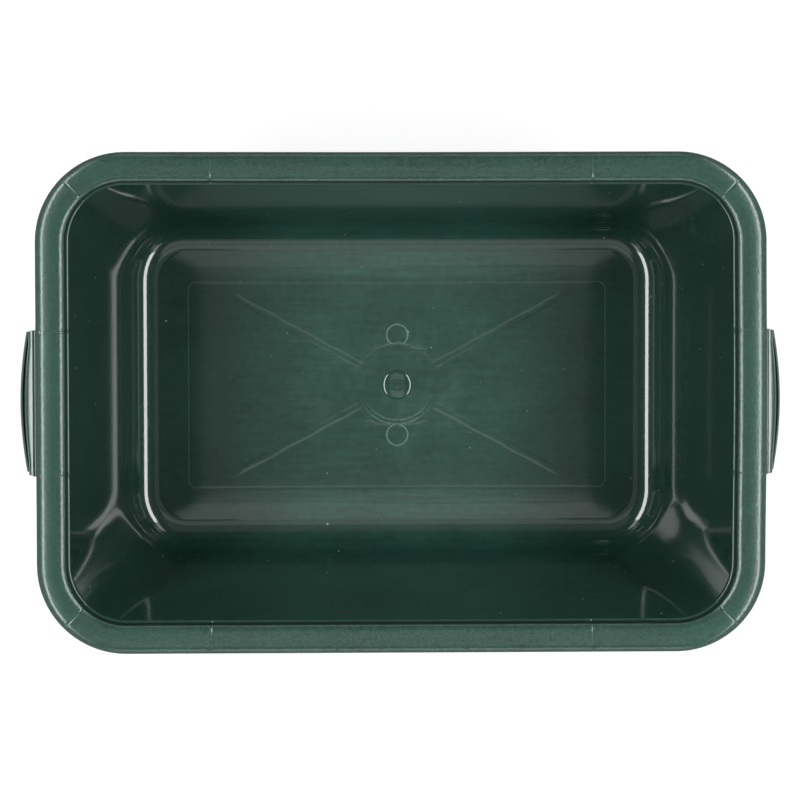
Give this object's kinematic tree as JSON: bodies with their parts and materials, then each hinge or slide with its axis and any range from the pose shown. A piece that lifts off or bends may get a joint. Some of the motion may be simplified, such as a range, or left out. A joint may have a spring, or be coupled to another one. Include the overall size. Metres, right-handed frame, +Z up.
{
  "type": "utility tub",
  "caption": "Open rectangular tub in soft moulded plastic, with tapered walls, a folded rim on gussets and a hooded grip at each end.",
  "frame": {"origin": "on the ground under the middle of the tub", "axes": "+Z up out of the open top, +X along the length towards the right grip, +Y towards the back wall"},
  "size_m": [0.644, 0.42, 0.2],
  "materials": {
    "shell_plastic": "semi-gloss dark green polyethylene",
    "rim_plastic": "semi-gloss dark green polyethylene",
    "base_plastic": "satin dark green polyethylene"
  },
  "bodies": {
    "root": {"tub_shell": "shell_plastic", "gate_button": "shell_plastic", "rim_flange": "rim_plastic", "left_handle": "rim_plastic", "right_handle": "rim_plastic", "gusset_back_1": "rim_plastic", "gusset_back_2": "rim_plastic", "gusset_back_3": "rim_plastic", "gusset_back_4": "rim_plastic", "gusset_front_1": "rim_plastic", "gusset_front_2": "rim_plastic", "gusset_front_3": "rim_plastic", "gusset_front_4": "rim_plastic", "gusset_left_1": "rim_plastic", "gusset_left_2": "rim_plastic", "gusset_right_1": "rim_plastic", "gusset_right_2": "rim_plastic", "gusset_back_left": "rim_plastic", "gusset_back_right": "rim_plastic", "gusset_front_left": "rim_plastic", "gusset_front_right": "rim_plastic", "base_foot_frame": "base_plastic", "base_hub_ring": "base_plastic", "base_rib_back_left": "base_plastic", "base_rib_back_right": "base_plastic", "base_rib_front_left": "base_plastic", "base_rib_front_right": "base_plastic"}
  },
  "joints": []
}
